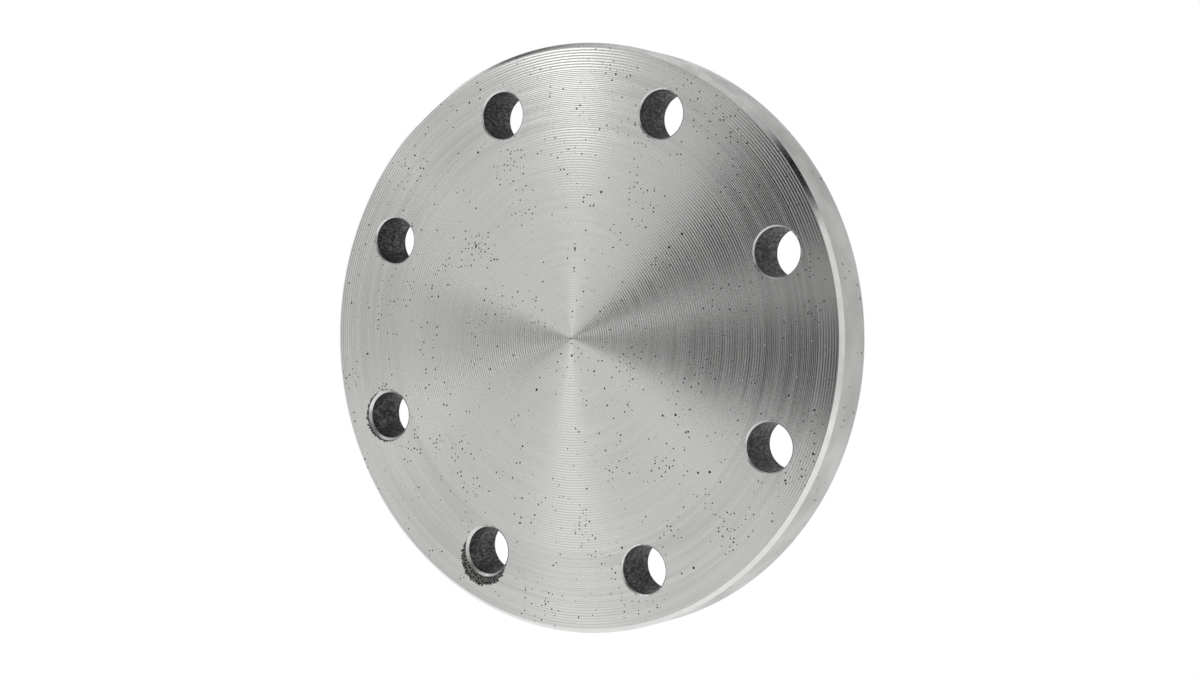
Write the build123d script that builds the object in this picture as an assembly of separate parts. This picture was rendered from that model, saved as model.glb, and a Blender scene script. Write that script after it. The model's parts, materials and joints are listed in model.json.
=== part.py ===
from build123d import *
import math
import os

# A flat-face blind flange, DN 100 PN 16: one steel disc, turned on a lathe and then drilled.
#
# Frame: the disc stands upright, as it does when it closes a level pipe. Its axis is Y. The
# sealing face lies in y = 0 and looks along -Y, the back face lies in y = THICKNESS, and the
# origin is the centre of the sealing face. +Z is up, midway between two bolt holes.
# All lengths are millimetres, and all angles are degrees.

# Disc
OUTER_DIAMETER = 220.0
THICKNESS = 20.0
RIM_CHAMFER = 1.5  # leg of the 45 degree chamfer on both edges of the rim

# Bolt holes
BOLT_CIRCLE_DIAMETER = 180.0
BOLT_COUNT = 8
BOLT_HOLE_DIAMETER = 18.0  # clearance hole for an M16 bolt
HOLE_CHAMFER = 1.0  # leg of the 45 degree chamfer at both mouths of a hole

# The holes straddle the vertical centreline, so the first one is half a step from +X.
BOLT_STEP = 360.0 / BOLT_COUNT
FIRST_BOLT_ANGLE = BOLT_STEP / 2

CUTTER_OVERRUN = 1.0  # how far the tool that cuts a hole runs past each face


def turned_disc():
    """The disc before drilling: half of its section, turned about Y."""
    radius = OUTER_DIAMETER / 2
    section = Polyline(
        (0, 0),
        (radius - RIM_CHAMFER, 0),
        (radius, RIM_CHAMFER),
        (radius, THICKNESS - RIM_CHAMFER),
        (radius - RIM_CHAMFER, THICKNESS),
        (0, THICKNESS),
        close=True,
    )
    return revolve(make_face(section), Axis.Y)


def hole_cutter():
    """What drilling and countersinking take out of the disc, centred on the Y axis."""
    radius = BOLT_HOLE_DIAMETER / 2
    mouth_radius = radius + HOLE_CHAMFER + CUTTER_OVERRUN
    section = Polyline(
        (0, -CUTTER_OVERRUN),
        (mouth_radius, -CUTTER_OVERRUN),
        (radius, HOLE_CHAMFER),
        (radius, THICKNESS - HOLE_CHAMFER),
        (mouth_radius, THICKNESS + CUTTER_OVERRUN),
        (0, THICKNESS + CUTTER_OVERRUN),
        close=True,
    )
    return revolve(make_face(section), Axis.Y)


def blind_flange_disc():
    """The whole flange: the turned disc with its ring of bolt holes."""
    disc = turned_disc()
    cutter = hole_cutter()
    for index in range(BOLT_COUNT):
        angle = math.radians(FIRST_BOLT_ANGLE + index * BOLT_STEP)
        x = BOLT_CIRCLE_DIAMETER / 2 * math.cos(angle)
        z = BOLT_CIRCLE_DIAMETER / 2 * math.sin(angle)
        disc -= Pos(x, 0, z) * cutter
    return disc


os.makedirs("parts", exist_ok=True)
export_step(blind_flange_disc(), "parts/blind_flange_disc.step")
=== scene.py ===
import json
import math

import bmesh
import bpy
from mathutils import Matrix, Vector


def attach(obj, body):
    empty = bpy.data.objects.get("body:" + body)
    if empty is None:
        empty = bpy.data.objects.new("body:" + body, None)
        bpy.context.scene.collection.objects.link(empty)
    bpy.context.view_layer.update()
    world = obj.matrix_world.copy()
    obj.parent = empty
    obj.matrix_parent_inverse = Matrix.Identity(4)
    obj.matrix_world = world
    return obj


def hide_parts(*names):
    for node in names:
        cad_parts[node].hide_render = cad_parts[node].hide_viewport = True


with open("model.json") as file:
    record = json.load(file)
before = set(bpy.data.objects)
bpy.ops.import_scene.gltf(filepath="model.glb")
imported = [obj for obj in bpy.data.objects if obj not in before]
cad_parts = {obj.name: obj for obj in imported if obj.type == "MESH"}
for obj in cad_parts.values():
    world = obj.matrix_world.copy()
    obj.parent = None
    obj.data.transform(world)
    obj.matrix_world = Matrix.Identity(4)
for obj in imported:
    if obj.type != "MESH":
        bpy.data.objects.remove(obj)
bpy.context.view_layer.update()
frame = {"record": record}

bl_info = {
    "name": "Blind Flange",
    "version": (1, 0, 0),
    "blender": (4, 5, 0),
    "location": "View3D > Sidebar > Flange",
    "description": "Turns, drills and finishes a flat-face blind flange on its CAD frame",
    "category": "Object",
}

# The flange stands upright. Its axis is Y, the sealing face lies in y = 0 and looks along -Y, and
# the origin is the centre of that face. Lengths are metres.
NODE = "blind_flange_disc"
DISC_SIZE = frame["record"]["size"]["bbox_m"]
BOLTS = next(mount["dims"] for mount in frame["record"]["mounts"] if mount["name"] == "bolt_circle")
MM = 0.001
BLACK = (0, 0, 0, 1)
USUAL = (0.3, 0.7)  # most values of a noise texture lie between these


def linear(code):
    """The linear colour, with alpha, of an sRGB hex code such as "C0FFEE"."""
    channels = [int(code[place:place + 2], 16) / 255 for place in (0, 2, 4)]
    bent = [c / 12.92 if c <= 0.04045 else ((c + 0.055) / 1.055) ** 2.4 for c in channels]
    return (*bent, 1.0)


def length(name, description, default):
    """A property for a length in metres."""
    return bpy.props.FloatProperty(name=name, description=description, default=default,
                                   unit="LENGTH", precision=5)


def number(name, description, default):
    """A property for a plain number."""
    return bpy.props.FloatProperty(name=name, description=description, default=default)


def angle(name, description, degrees):
    """A property for an angle, whose default is given in degrees."""
    return bpy.props.FloatProperty(name=name, description=description,
                                   default=math.radians(degrees), subtype="ANGLE")


def color(name, description, code):
    """A property for a colour, whose default is given as an sRGB hex code."""
    return bpy.props.FloatVectorProperty(name=name, description=description, default=linear(code),
                                         subtype="COLOR", size=4, min=0, max=1)


class FlangeSizes(bpy.types.PropertyGroup):
    """What the lathe and the drill make."""

    outer_diameter: length("Outer diameter", "Across the rim", DISC_SIZE[0])
    thickness: length("Thickness", "From the sealing face to the back face", DISC_SIZE[1])
    rim_chamfer: length("Rim chamfer", "Leg of the chamfer on both edges of the rim", 1.5 * MM)
    bolt_circle: length("Bolt circle", "Diameter of the circle of hole centres",
                        BOLTS["pcd_mm"] * MM)
    bolt_hole: length("Bolt hole", "Diameter of a bolt hole", 2 * BOLTS["hole_r_mm"] * MM)
    bolt_count: bpy.props.IntProperty(name="Bolt holes", description="Holes in the ring",
                                      default=BOLTS["count"])
    hole_chamfer: length("Hole chamfer", "Leg of the chamfer at a hole's mouths", 0.6 * MM)
    deep_chamfer: length("Deep hole chamfer", "The same at the two holes that were deburred harder",
                         1.0 * MM)
    sealing_band: length("Sealing band", "Diameter of the band under a ring gasket", 158 * MM)
    outer_band: length("Outer band", "Inner diameter of the band at the rim", 200.4 * MM)
    # The real feed is 0.7 mm. It is too fine to show in the wide bands, and is drawn coarser there.
    groove_pitch: length("Groove pitch", "Feed of the facing tool in one turn", 1.0 * MM)
    fine_pitch: length("Fine pitch", "Feed in the band of the bolt holes", 0.7 * MM)
    back_pitch: length("Back pitch", "Feed on the back face", 2.0 * MM)
    groove_depth: number("Groove depth", "Depth of a groove, as part of its pitch", 0.155)
    pip: length("Centre pip", "Radius of the pip that the facing tool leaves at the centre",
                0.7 * MM)
    segments: bpy.props.IntProperty(name="Segments", default=240,
                                    description="Steps of the disc round its axis")
    hole_segments: bpy.props.IntProperty(name="Hole segments", default=72,
                                         description="Steps of a bolt hole round its axis")


class FlangeFinish(bpy.types.PropertyGroup):
    """The colours and the gloss of the steel."""

    turned: color("Turned steel", "Faces cut by the facing tool", "C6C6C4")
    bright: color("Bright steel", "Chamfers, cut last and least worn", "E2E2E0")
    rim: color("Rim steel", "Turned rim, handled and a little dull", "BEBEBC")
    bore: color("Bore steel", "Drilled walls under a film of dark oxide", "747472")
    skin: color("Forged skin", "Scale that the facing tool never reached", "8C8C8A")
    pit: color("Pit", "Floor of a corrosion pit", "2A2A29")
    gloss: number("Face roughness", "Roughness of the turned faces", 0.2)
    stretch: number("Face stretch", "How far fine marks stretch a highlight across them", 0.6)


class StudioLook(bpy.types.PropertyGroup):
    """The camera and the white room."""

    azimuth: angle("Azimuth", "Camera's place round the flange, from in front of the sealing face",
                   31.46)
    elevation: angle("Elevation", "Camera's height as an angle above the flange's axis", 2.03)
    distance: length("Distance", "From the camera to the centre of the sealing face", 745 * MM)
    roll: angle("Roll", "How far the camera leans to its left", 2.09)
    aim_right: length("Aim right", "How far right of the centre the camera looks", 12.4 * MM)
    aim_up: length("Aim up", "How far above the centre the camera looks", 0.9 * MM)
    lens: number("Lens", "Focal length in millimetres on a 36 mm sensor", 59.9)
    floor_radius: length("Floor radius", "Radius of the round floor", 400 * MM)
    room: number("Room light", "How strongly the white room lights the flange", 0.86)
    white: color("White", "The floor and the room", "FFFFFF")


# ---------------------------------------------------------------------------------------------
# Modelling


def deselect_all():
    """Leaves object mode with nothing selected."""
    if bpy.context.object and bpy.context.object.mode != "OBJECT":
        bpy.ops.object.mode_set(mode="OBJECT")
    bpy.ops.object.select_all(action="DESELECT")


def edit(piece):
    """Goes into edit mode on one piece alone."""
    deselect_all()
    piece.select_set(True)
    bpy.context.view_layer.objects.active = piece
    bpy.ops.object.mode_set(mode="EDIT")


def pick(kind, test):
    """Selects the verts, edges or faces in edit mode that pass a test, and no others."""
    bpy.ops.mesh.select_mode(type={"verts": "VERT", "edges": "EDGE", "faces": "FACE"}[kind])
    bpy.ops.mesh.select_all(action="DESELECT")
    mesh = bpy.context.object.data
    shape = bmesh.from_edit_mesh(mesh)
    chosen = [part for part in getattr(shape, kind) if test(part)]
    if not chosen:
        raise RuntimeError(f"no {kind} to select")
    for part in chosen:
        part.select = True
    shape.select_flush_mode()
    bmesh.update_edit_mesh(mesh)


def near(a, b):
    """Whether two lengths are the same to a thousandth of a millimetre."""
    return abs(a - b) < 0.001 * MM


def radius_of(point):
    """How far a point is from the flange's axis."""
    return math.hypot(point.x, point.z)


def on_bolt_circle(sizes, hole, out=0.0):
    """The centre of a bolt hole in the sealing face, counted from +X, moved outwards by out."""
    turn = 2 * math.pi * (hole + 0.5) / sizes.bolt_count
    reach = sizes.bolt_circle / 2 + out
    return Vector((reach * math.cos(turn), 0, reach * math.sin(turn)))


def cut_grooves(start, end, face, pitch, depth):
    """Divides one straight edge of the section into grooves and sinks their valleys. Two grooves
    take four steps, so that a valley is every second point."""
    pairs = max(2, round((end - start) / pitch / 2))
    quarter = (end - start) / (4 * pairs)

    def on_band(vertex):
        return near(vertex.co.y, face) and start - quarter / 2 < vertex.co.x < end + quarter / 2

    pick("edges", lambda e: all(on_band(v) for v in e.verts))
    bpy.ops.mesh.subdivide(number_cuts=pairs - 1)
    pick("edges", lambda e: all(on_band(v) for v in e.verts))
    bpy.ops.mesh.subdivide(number_cuts=3)
    pick("verts", lambda v: on_band(v) and round((v.co.x - start) / quarter) % 2 == 1)
    bpy.ops.transform.translate(value=(0, depth * 2 * quarter, 0))


def turn_disc(sizes):
    """The disc off the lathe: half of its section, in the XY plane, spun about Y."""
    radius = sizes.outer_diameter / 2
    thick = sizes.thickness
    seal = sizes.sealing_band / 2
    outer = sizes.outer_band / 2
    bands = ((sizes.pip, seal), (seal, outer), (outer, radius - sizes.rim_chamfer))
    front = (sizes.groove_pitch, sizes.fine_pitch, sizes.groove_pitch)
    back = (sizes.back_pitch,) * 3
    depth = sizes.groove_depth
    middle = (radius / 2, thick / 2, 0)
    deselect_all()
    bpy.ops.mesh.primitive_plane_add(size=1, location=middle)
    disc = bpy.context.object
    disc.name = "blind_flange"
    bpy.ops.object.transform_apply(location=True, rotation=False, scale=False)
    edit(disc)
    bpy.ops.mesh.select_all(action="SELECT")
    bpy.ops.transform.resize(value=(radius, thick, 1), center_override=middle)

    pick("verts", lambda v: near(v.co.x, radius))
    bpy.ops.mesh.bevel(offset=sizes.rim_chamfer, affect="VERTICES")
    pick("faces", lambda f: True)
    bpy.ops.mesh.delete(type="ONLY_FACE")
    pick("edges", lambda e: all(near(v.co.x, 0) for v in e.verts))
    bpy.ops.mesh.delete(type="EDGE_FACE")
    for border in (sizes.pip, seal, outer):
        bpy.ops.mesh.select_all(action="SELECT")
        bpy.ops.mesh.bisect(plane_co=(border, 0, 0), plane_no=(1, 0, 0))
    for face, sink, pitches in ((0, depth, front), (thick, -depth, back)):
        for (start, end), pitch in zip(bands, pitches):
            cut_grooves(start, end, face, pitch, sink)
    # The pip stands proud by a quarter of its radius.
    pick("verts", lambda v: near(v.co.x, 0) and near(v.co.y, 0))
    bpy.ops.transform.translate(value=(0, -sizes.pip / 4, 0))

    bpy.ops.mesh.select_all(action="SELECT")
    bpy.ops.mesh.spin(steps=sizes.segments, angle=2 * math.pi, center=(0, 0, 0), axis=(0, 1, 0))
    bpy.ops.mesh.select_all(action="SELECT")
    bpy.ops.mesh.remove_doubles(threshold=0.0001 * MM)
    bpy.ops.mesh.normals_make_consistent(inside=False)
    bpy.ops.object.mode_set(mode="OBJECT")
    return disc


def hole_cutters(sizes, first, count, chamfer):
    """Solids for a run of bolt holes: cylinders that open into cones, which stand past both faces
    by an overrun."""
    overrun = 1.0 * MM
    hole = sizes.bolt_hole / 2
    thick = sizes.thickness
    reach = chamfer + overrun
    flare = (hole + reach) / hole
    step = 2 * math.pi / sizes.bolt_count
    centre = on_bolt_circle(sizes, first) + Vector((0, thick / 2, 0))
    deselect_all()
    bpy.ops.mesh.primitive_cylinder_add(vertices=sizes.hole_segments, radius=hole,
                                        depth=thick - 2 * chamfer, location=centre,
                                        rotation=(math.pi / 2, 0, 0))
    cutters = bpy.context.object
    bpy.ops.object.transform_apply(location=True, rotation=True, scale=True)
    edit(cutters)
    for side in (-1, 1):
        pick("faces", lambda f: f.normal.y * side > 0.9)
        bpy.ops.mesh.extrude_region_move(TRANSFORM_OT_translate={"value": (0, side * reach, 0)})
        bpy.ops.transform.resize(value=(flare, 1, flare), center_override=centre)
    bpy.ops.mesh.select_all(action="SELECT")
    for _ in range(count - 1):
        bpy.ops.mesh.duplicate()
        bpy.ops.transform.rotate(value=step, orient_axis="Y", center_override=(0, 0, 0))
    bpy.ops.mesh.select_all(action="SELECT")
    bpy.ops.mesh.normals_make_consistent(inside=False)
    bpy.ops.object.mode_set(mode="OBJECT")
    return cutters


def cut(disc, cutter):
    """Takes a cutter out of the disc."""
    deselect_all()
    disc.select_set(True)
    bpy.context.view_layer.objects.active = disc
    cutting = disc.modifiers.new("cutting", "BOOLEAN")
    cutting.operation = "DIFFERENCE"
    cutting.solver = "EXACT"
    cutting.object = cutter
    bpy.ops.object.modifier_apply(modifier=cutting.name)
    bpy.data.objects.remove(cutter)


def shade_disc(disc, sizes):
    """Smooth round the axis, sharp at the chamfers and along the crests between grooves."""
    deselect_all()
    disc.select_set(True)
    bpy.context.view_layer.objects.active = disc
    bpy.ops.object.shade_smooth_by_angle(angle=math.radians(30))
    edit(disc)

    def is_crest(edge):
        first, second = (radius_of(v.co) for v in edge.verts)
        level = all(near(v.co.y, 0) or near(v.co.y, sizes.thickness) for v in edge.verts)
        return level and near(first, second) and first > sizes.pip / 2

    pick("edges", is_crest)
    bpy.ops.mesh.mark_sharp()
    bpy.ops.object.mode_set(mode="OBJECT")


# ---------------------------------------------------------------------------------------------
# Finishes


def add_node(tree, kind, *values, named=None, **settings):
    """Adds a shader node with its settings. Values fill its inputs in their order, and named ones
    by name. Each is a number, a colour, an output, or a node that stands for its first output."""
    node = tree.nodes.new("ShaderNode" + kind)
    for name, value in settings.items():
        setattr(node, name, value)
    inputs = [socket for socket in node.inputs if socket.enabled]
    chosen = list(zip(inputs, values))
    chosen += [(node.inputs[name], value) for name, value in (named or {}).items()]
    for socket, value in chosen:
        if isinstance(value, bpy.types.Node):
            value = next(output for output in value.outputs if output.enabled)
        if isinstance(value, bpy.types.NodeSocket):
            tree.links.new(value, socket)
        else:
            socket.default_value = value
    return node


def new_tree(name):
    """A material and its empty node tree."""
    material = bpy.data.materials.new(name)
    material.use_nodes = True
    material.node_tree.nodes.clear()
    return material, material.node_tree


def lathe_place(tree):
    """A place, its millimetres from the flange's axis, and its direction from the axis."""
    place = add_node(tree, "TexCoord").outputs["Object"]
    flat = add_node(tree, "VectorMath", place, (1, 0, 1), operation="MULTIPLY")
    radius = add_node(tree, "VectorMath", flat, operation="LENGTH")
    around = add_node(tree, "VectorMath", flat, operation="NORMALIZE")
    return place, add_node(tree, "Math", radius, 1 / MM, operation="MULTIPLY"), around


def rings(tree, across, around, width, changes):
    """Grey noise in rings: across is the place across them and width their width, both in mm, and
    changes is how often they change on their way round."""
    split = add_node(tree, "SeparateXYZ", around)
    line = add_node(tree, "Math", across, 1 / width, operation="MULTIPLY")
    x, z = (add_node(tree, "Math", split.outputs[axis], changes, operation="MULTIPLY")
            for axis in "XZ")
    point = add_node(tree, "CombineXYZ", line, x, z)
    return add_node(tree, "TexNoise", point, 1.0, 1.0)


def face_map(tree, place):
    """A flat map of both faces, in metres, with the back face's part of it far from the front's."""
    split = add_node(tree, "SeparateXYZ", place)
    back = add_node(tree, "Math", split.outputs["Y"], DISC_SIZE[1] / 2, operation="GREATER_THAN")
    across = add_node(tree, "Math", split.outputs["X"], back, operation="ADD")
    return add_node(tree, "CombineXYZ", across, split.outputs["Z"])


def rim_map(tree, place):
    """A flat map of the rim, in metres."""
    split = add_node(tree, "SeparateXYZ", place)
    turn = add_node(tree, "Math", split.outputs["Z"], split.outputs["X"], operation="ARCTAN2")
    along = add_node(tree, "Math", turn, DISC_SIZE[0] / 2, operation="MULTIPLY")
    return add_node(tree, "CombineXYZ", along, split.outputs["Y"])


def pits(tree, flat, spacing, size, share, drift):
    """1 in the pits of a flat map and 0 between them. Each cell, as wide as the spacing, holds one
    pit or none; share is the part of them that hold one in the thick of a drift. Lengths in mm."""
    cells = add_node(tree, "TexVoronoi", flat, 1 / (spacing * MM), voronoi_dimensions="2D")
    dice = add_node(tree, "SeparateColor", cells.outputs["Color"])
    drifts = add_node(tree, "TexNoise", flat, 1 / (drift * MM))
    limit = add_node(tree, "MapRange", drifts, 0.50, 0.72, 0.02, share)
    chosen = add_node(tree, "Math", dice.outputs["Red"], limit, operation="LESS_THAN")
    least, most = 0.3 * size / spacing, 0.7 * size / spacing
    reach = add_node(tree, "MapRange", dice.outputs["Green"], 0.0, 1.0, least, most)
    gone = add_node(tree, "Math", cells.outputs["Distance"], reach, operation="DIVIDE")
    inside = add_node(tree, "Math", 1.0, gone, operation="SUBTRACT")
    slope = add_node(tree, "MapRange", inside, 0.0, 0.35, 0.0, 1.0)
    return add_node(tree, "Math", chosen, slope, operation="MULTIPLY")


def skin(tree, place, sizes, hole, out, radius):
    """1 where a bolt hole's surroundings still carry forged skin. Its round patch, with a ragged
    edge, lies beyond the hole by out, towards the rim. Lengths in mm."""
    centre = on_bolt_circle(sizes, hole, out * MM)
    gap = add_node(tree, "VectorMath", place, centre, operation="DISTANCE")
    noise = add_node(tree, "TexNoise", place, 1 / (1.2 * MM), 4.0)
    ragged = add_node(tree, "MapRange", noise, *USUAL, -0.8 * MM, 0.8 * MM)
    gap = add_node(tree, "Math", gap, ragged, operation="ADD")
    return add_node(tree, "Math", gap, radius * MM, operation="LESS_THAN")


def finish_steel(tree, base, roughness, stretch, height):
    """The metal surface. Its colour, its roughness and the height of its bumps in mm are nodes."""
    normal = add_node(tree, "Bump", named={"Height": height, "Strength": 1.0, "Distance": MM})
    tangent = add_node(tree, "Tangent", direction_type="RADIAL", axis="Y")
    surface = add_node(tree, "BsdfPrincipled", named={
        "Base Color": base, "Metallic": 1.0, "Roughness": roughness, "Anisotropic": stretch,
        "Tangent": tangent, "Normal": normal})
    add_node(tree, "OutputMaterial", surface)


def faced(name, sizes, finish, tone):
    """Steel faced on the lathe. tone is its darkest ring, as part of its colour."""
    material, tree = new_tree(name)
    place, radius, around = lathe_place(tree)
    flat = face_map(tree, place)

    # Rings a millimetre or two wide, left by chatter of the tool: some are a little darker.
    chatter = rings(tree, radius, around, width=1.6, changes=1.2)
    ring_tone = add_node(tree, "MapRange", chatter, *USUAL, tone, 1.0)
    base = add_node(tree, "Mix", ring_tone, BLACK, finish.turned, data_type="RGBA")
    # Stains 30 mm wide, hardly darker than the rest.
    stains = add_node(tree, "TexNoise", flat, 1 / (30 * MM))
    stain_tone = add_node(tree, "MapRange", stains, *USUAL, 0.96, 1.0)
    base = add_node(tree, "Mix", stain_tone, BLACK, base, data_type="RGBA")

    # Rust pits: dark, dull and a few tenths of a millimetre wide, in drifts.
    small = pits(tree, flat, spacing=1.5, size=0.55, share=0.45, drift=18)
    large = pits(tree, flat, spacing=5.0, size=0.8, share=0.30, drift=40)
    rust = add_node(tree, "Math", small, large, operation="MAXIMUM")
    base = add_node(tree, "Mix", rust, base, finish.pit, data_type="RGBA")

    # Nicks scatter light every way: they look pale where the face looks dark.
    apart = add_node(tree, "VectorMath", flat, (0.5, 0.5, 0))
    nicks = pits(tree, apart, spacing=2.6, size=0.5, share=0.14, drift=16)

    # Forged skin that the tool never reached, beside two of the bolt holes: rough, dark grain.
    low_patch = skin(tree, place, sizes, hole=5, out=3.6, radius=10.3)
    side_patch = skin(tree, place, sizes, hole=4, out=0.8, radius=10.2)
    raw = add_node(tree, "Math", low_patch, side_patch, operation="MAXIMUM")
    grain = add_node(tree, "TexNoise", place, 1 / (0.7 * MM), 4.0)
    grain_tone = add_node(tree, "MapRange", grain, 0.44, 0.56, 0.0, 1.0)
    scale = add_node(tree, "Mix", grain_tone, finish.pit, finish.skin, data_type="RGBA")
    base = add_node(tree, "Mix", raw, base, scale, data_type="RGBA")

    marks = add_node(tree, "Math", rust, nicks, operation="MAXIMUM")
    dull = add_node(tree, "Math", marks, raw, operation="MAXIMUM")
    gloss = add_node(tree, "MapRange", chatter, *USUAL, finish.gloss - 0.02, finish.gloss + 0.02)
    roughness = add_node(tree, "MapRange", dull, 0.0, 1.0, gloss, 0.7)

    # Heights in mm: the grain of the skin, less the pits.
    bumps = add_node(tree, "Math", raw, grain, operation="MULTIPLY")
    rise = add_node(tree, "Math", bumps, 0.3, operation="MULTIPLY")
    fall = add_node(tree, "Math", rust, 0.06, operation="MULTIPLY")
    height = add_node(tree, "Math", rise, fall, operation="SUBTRACT")
    finish_steel(tree, base, roughness, finish.stretch, height)
    return material


def turned_steel(sizes, finish):
    """The sealing band: a coarse feed, whose grooves draw light out into wedges."""
    return faced("turned_steel", sizes, finish, tone=0.95)


def turned_edge_steel(sizes, finish):
    """The band at the rim: the same feed, with rings that differ more."""
    return faced("turned_edge_steel", sizes, finish, tone=0.90)


def faced_steel(sizes, finish):
    """The band of the bolt holes: a finer feed, with the most uneven rings."""
    return faced("faced_steel", sizes, finish, tone=0.86)


def bright(name, finish, low, high):
    """Steel chamfered last: the brightest edges, with soft stains between two roughnesses."""
    material, tree = new_tree(name)
    place = add_node(tree, "TexCoord").outputs["Object"]
    stains = add_node(tree, "TexNoise", place, 1 / (6 * MM))
    tone = add_node(tree, "MapRange", stains, *USUAL, 0.92, 1.0)
    base = add_node(tree, "Mix", tone, BLACK, finish.bright, data_type="RGBA")
    roughness = add_node(tree, "MapRange", stains, *USUAL, high, low)
    # Waves 1.5 mm long and a few thousandths of a millimetre high, left by the tool.
    waves = add_node(tree, "TexNoise", place, 1 / (1.5 * MM))
    height = add_node(tree, "Math", waves, 0.005, operation="MULTIPLY")
    finish_steel(tree, base, roughness, 0.0, height)
    return material


def bright_steel(sizes, finish):
    """The rim's chamfers: a keen cut, so they flash from black to white."""
    return bright("bright_steel", finish, 0.18, 0.24)


def deburred_steel(sizes, finish):
    """The bolt holes' chamfers: cut by hand, duller, so they shine evenly."""
    return bright("deburred_steel", finish, 0.36, 0.44)


def rim_steel(sizes, finish):
    """The turned rim: fine lines round it, dulled in soft patches by handling."""
    material, tree = new_tree("rim_steel")
    place, _, around = lathe_place(tree)
    depth = add_node(tree, "SeparateXYZ", place).outputs["Y"]
    across = add_node(tree, "Math", depth, 1 / MM, operation="MULTIPLY")
    # The real lines are finer than 0.1 mm, too fine to show, and are drawn coarser.
    lines = rings(tree, across, around, width=0.6, changes=3.0)
    patches = add_node(tree, "TexNoise", place, 1 / (16 * MM), 3.0)
    rust = pits(tree, rim_map(tree, place), spacing=2.4, size=0.8, share=0.30, drift=22)

    patch_tone = add_node(tree, "MapRange", patches, *USUAL, 0.82, 1.0)
    base = add_node(tree, "Mix", patch_tone, BLACK, finish.rim, data_type="RGBA")
    line_tone = add_node(tree, "MapRange", lines, *USUAL, 0.93, 1.0)
    base = add_node(tree, "Mix", line_tone, BLACK, base, data_type="RGBA")
    base = add_node(tree, "Mix", rust, base, finish.pit, data_type="RGBA")

    handled = add_node(tree, "MapRange", patches, *USUAL, 0.42, 0.30)
    rusted = add_node(tree, "Math", rust, 0.7, operation="MULTIPLY")
    roughness = add_node(tree, "Math", handled, rusted, operation="MAXIMUM")
    height = add_node(tree, "Math", rust, -0.06, operation="MULTIPLY")
    finish_steel(tree, base, roughness, 0.5, height)
    return material


def bore_steel(sizes, finish):
    """Drilled walls: rough, under a film of dark oxide, with lighter rubbed spots."""
    material, tree = new_tree("bore_steel")
    place = add_node(tree, "TexCoord").outputs["Object"]
    # Grain 0.9 mm wide and twice as long down the hole, along the way that the drill went.
    drawn = add_node(tree, "VectorMath", place, (1, 0.45, 1), operation="MULTIPLY")
    grain = add_node(tree, "TexNoise", drawn, 1 / (0.9 * MM), 4.0)
    spots = add_node(tree, "MapRange", grain, 0.40, 0.66, 0.1, 0.9)
    patches = add_node(tree, "TexNoise", place, 1 / (7 * MM))
    wear = add_node(tree, "MapRange", patches, *USUAL, 0.4, 1.0)
    rubbed = add_node(tree, "Math", spots, wear, operation="MULTIPLY")
    base = add_node(tree, "Mix", rubbed, finish.pit, finish.bore, data_type="RGBA")
    roughness = add_node(tree, "MapRange", grain, *USUAL, 0.6, 0.45)
    height = add_node(tree, "Math", grain, 0.1, operation="MULTIPLY")
    finish_steel(tree, base, roughness, 0.0, height)
    return material


def finish_disc(disc, sizes, finish):
    """Gives each zone of the disc its finish."""
    seal = sizes.sealing_band / 2
    outer = sizes.outer_band / 2
    chamfer = sizes.outer_diameter / 2 - sizes.rim_chamfer

    def reach(face):
        return radius_of(face.calc_center_median())

    def flat(face):
        return abs(face.normal.y) > 0.9

    def upright(face):
        return abs(face.normal.y) < 0.1

    zones = (
        (turned_steel, lambda f: True),
        (turned_edge_steel, lambda f: flat(f) and reach(f) > outer),
        (faced_steel, lambda f: flat(f) and seal < reach(f) < outer),
        (bright_steel, lambda f: not flat(f) and not upright(f) and reach(f) > chamfer),
        (deburred_steel, lambda f: not flat(f) and not upright(f) and seal < reach(f) < chamfer),
        (rim_steel, lambda f: upright(f) and reach(f) > chamfer),
        (bore_steel, lambda f: upright(f) and reach(f) < chamfer),
    )
    for make, _ in zones:
        disc.data.materials.append(make(sizes, finish))
    edit(disc)
    for slot, (_, test) in enumerate(zones):
        pick("faces", test)
        disc.active_material_index = slot
        bpy.ops.object.material_slot_assign()
    bpy.ops.object.mode_set(mode="OBJECT")


class FLANGE_OT_disc(bpy.types.Operator):
    """Turns, drills and finishes the flange's disc"""

    bl_idname = "flange.disc"
    bl_label = "Flange Disc"

    def execute(self, context):
        sizes = context.scene.flange_sizes
        disc = turn_disc(sizes)
        cut(disc, hole_cutters(sizes, 4, 2, sizes.deep_chamfer))
        cut(disc, hole_cutters(sizes, 6, sizes.bolt_count - 2, sizes.hole_chamfer))
        shade_disc(disc, sizes)
        finish_disc(disc, sizes, context.scene.flange_finish)
        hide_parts(NODE)
        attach(disc, "root")
        return {"FINISHED"}


# ---------------------------------------------------------------------------------------------
# Stage


def towards(azimuth, elevation, distance):
    """A place round the flange's face: azimuth 0 is in front of it, and turns towards +X."""
    return distance * Vector((math.sin(azimuth) * math.cos(elevation),
                              -math.cos(azimuth) * math.cos(elevation),
                              math.sin(elevation)))


def soft_box(name, azimuth, elevation, width, height, brightness):
    """A rectangular light that looks at the flange. Angles are degrees, as seen from the flange,
    and brightness is compared with the white of the room."""
    distance = 2.8
    place = towards(math.radians(azimuth), math.radians(elevation), distance)
    deselect_all()
    bpy.ops.object.light_add(type="AREA", location=place,
                             rotation=place.to_track_quat("Z", "Y").to_euler())
    lamp = bpy.context.object
    lamp.name = name
    lamp.data.shape = "RECTANGLE"
    lamp.data.size = 2 * distance * math.tan(math.radians(width / 2))
    lamp.data.size_y = 2 * distance * math.tan(math.radians(height / 2))
    # A lamp's brightness is its energy over pi times its area.
    lamp.data.energy = math.pi * brightness * lamp.data.size * lamp.data.size_y
    lamp.visible_camera = False


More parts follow.
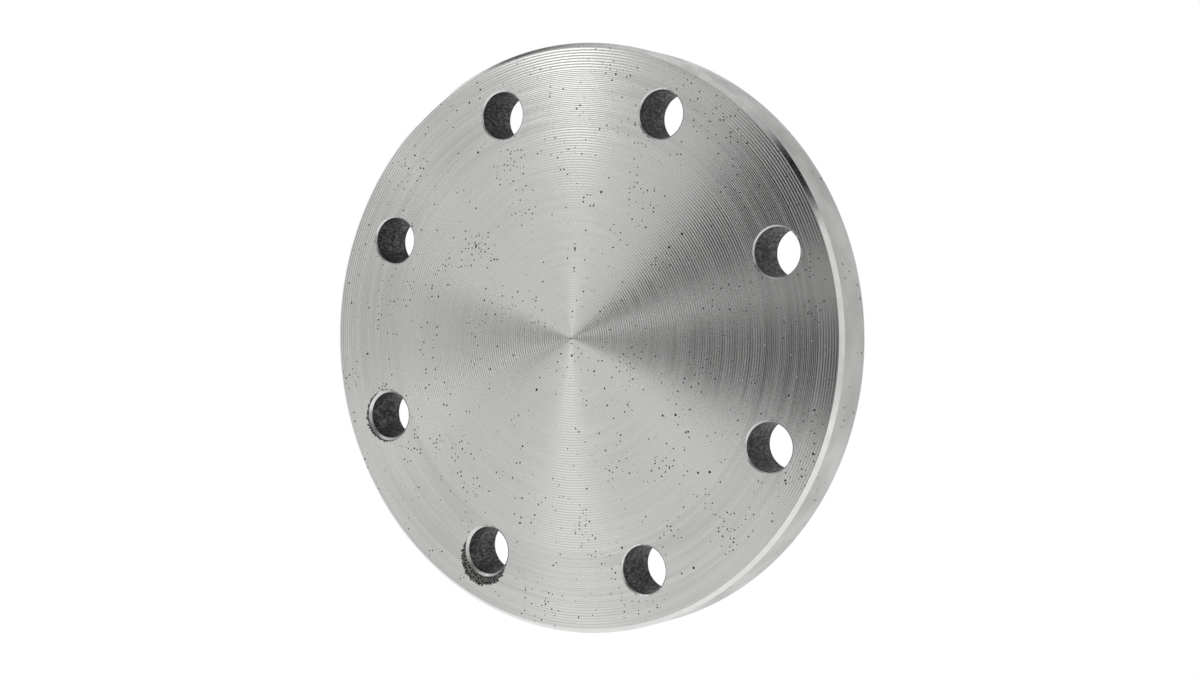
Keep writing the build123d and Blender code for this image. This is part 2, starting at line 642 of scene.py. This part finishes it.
def dark_card(name, azimuth, elevation, width, height):
    """Black felt, curved round the flange, that keeps the room's white off it. Angles are as for a
    soft box."""
    distance = 3.0
    margin = 0.1  # degrees, so that rounding doesn't drop a row of points
    # Spin turns from this end of the card towards smaller azimuths.
    start = math.radians(azimuth + width / 2)
    low, high = (math.radians(elevation + side * (height / 2 + margin)) for side in (-1, 1))
    ahead = towards(start, 0, 1)
    deselect_all()
    bpy.ops.mesh.primitive_circle_add(vertices=360, radius=distance,
                                      rotation=(math.pi / 2, 0, start - math.pi / 2))
    card = bpy.context.object
    card.name = name
    bpy.ops.object.transform_apply(location=False, rotation=True, scale=False)
    edit(card)
    pick("verts", lambda v: v.co.dot(ahead) < 0 or not low < math.asin(v.co.normalized().z) < high)
    bpy.ops.mesh.delete(type="VERT")
    bpy.ops.mesh.select_all(action="SELECT")
    bpy.ops.mesh.spin(steps=max(2, round(width / 3)), angle=math.radians(width),
                      center=(0, 0, 0), axis=(0, 0, 1))
    bpy.ops.object.mode_set(mode="OBJECT")
    material, tree = new_tree("black_felt")
    add_node(tree, "OutputMaterial", add_node(tree, "BsdfDiffuse", BLACK))
    card.data.materials.append(material)
    card.visible_camera = False


def white_floor(look):
    """A round white floor under the flange's rim, bright enough to show no shadow."""
    deselect_all()
    bpy.ops.mesh.primitive_circle_add(vertices=96, radius=look.floor_radius, fill_type="NGON",
                                      location=(0, 0, -DISC_SIZE[2] / 2))
    floor = bpy.context.object
    floor.name = "floor"
    material, tree = new_tree("white_floor")
    add_node(tree, "OutputMaterial", add_node(tree, "Emission", look.white, 1.0))
    floor.data.materials.append(material)


def white_room(look):
    """A white room: the camera sees it pure white, and it lights the flange evenly."""
    world = bpy.data.worlds.new("white_room")
    world.use_nodes = True
    tree = world.node_tree
    tree.nodes.clear()
    seen = add_node(tree, "LightPath").outputs["Is Camera Ray"]
    strength = add_node(tree, "Math", seen, look.room, operation="MAXIMUM")
    add_node(tree, "OutputWorld", add_node(tree, "Background", look.white, strength))
    bpy.context.scene.world = world


def camera(look):
    """The camera, a little below the flange's shoulder and turned to its right."""
    aim = Vector((look.aim_right, 0, look.aim_up))
    place = towards(look.azimuth, look.elevation, look.distance)
    lean = Matrix.Rotation(look.roll, 3, "Z").to_quaternion()
    turn = (aim - place).to_track_quat("-Z", "Y") @ lean
    deselect_all()
    bpy.ops.object.camera_add(location=place, rotation=turn.to_euler())
    view = bpy.context.object
    view.data.lens = look.lens
    view.data.sensor_width = 36
    bpy.context.scene.camera = view


class FLANGE_OT_stage(bpy.types.Operator):
    """Sets the floor, the room, the lights and the camera"""

    bl_idname = "flange.stage"
    bl_label = "Stage"

    def execute(self, context):
        look = context.scene.studio_look
        context.scene.view_settings.view_transform = "Standard"
        white_floor(look)
        white_room(look)
        dark_card("front_card", 21, 42, 50, 60)
        dark_card("dark_canopy", 117, 60, 280, 46)
        dark_card("low_card", -4, -4, 132, 18)
        soft_box("front_box", -2, -2, 16, 24, 0.7)
        soft_box("front_strip", -35, 14, 8, 30, 0.85)
        soft_box("left_box", -61, -2, 26, 24, 0.3)
        soft_box("long_strip", -115, 24, 92, 6, 1.05)
        soft_box("high_left_box", -46, 39, 19, 12, 1.95)
        soft_box("high_right_box", 47, 72, 14, 28, 0.7)
        camera(look)
        return {"FINISHED"}


class FLANGE_PT_panel(bpy.types.Panel):
    """Lists the flange's operators"""

    bl_label = "Blind Flange"
    bl_idname = "FLANGE_PT_panel"
    bl_space_type = "VIEW_3D"
    bl_region_type = "UI"
    bl_category = "Flange"

    def draw(self, context):
        self.layout.operator(FLANGE_OT_disc.bl_idname)
        self.layout.operator(FLANGE_OT_stage.bl_idname)


GROUPS = {"flange_sizes": FlangeSizes, "flange_finish": FlangeFinish, "studio_look": StudioLook}
CLASSES = (*GROUPS.values(), FLANGE_OT_disc, FLANGE_OT_stage, FLANGE_PT_panel)


def register():
    """Makes the classes known and gives the scene its settings."""
    for each in CLASSES:
        bpy.utils.register_class(each)
    for name, group in GROUPS.items():
        setattr(bpy.types.Scene, name, bpy.props.PointerProperty(type=group))


def unregister():
    """Undoes register."""
    for name in GROUPS:
        delattr(bpy.types.Scene, name)
    for each in reversed(CLASSES):
        bpy.utils.unregister_class(each)


def main():
    """Makes the flange and its stage."""
    register()
    bpy.ops.flange.disc()
    bpy.ops.flange.stage()


if __name__ == "__main__":
    main()
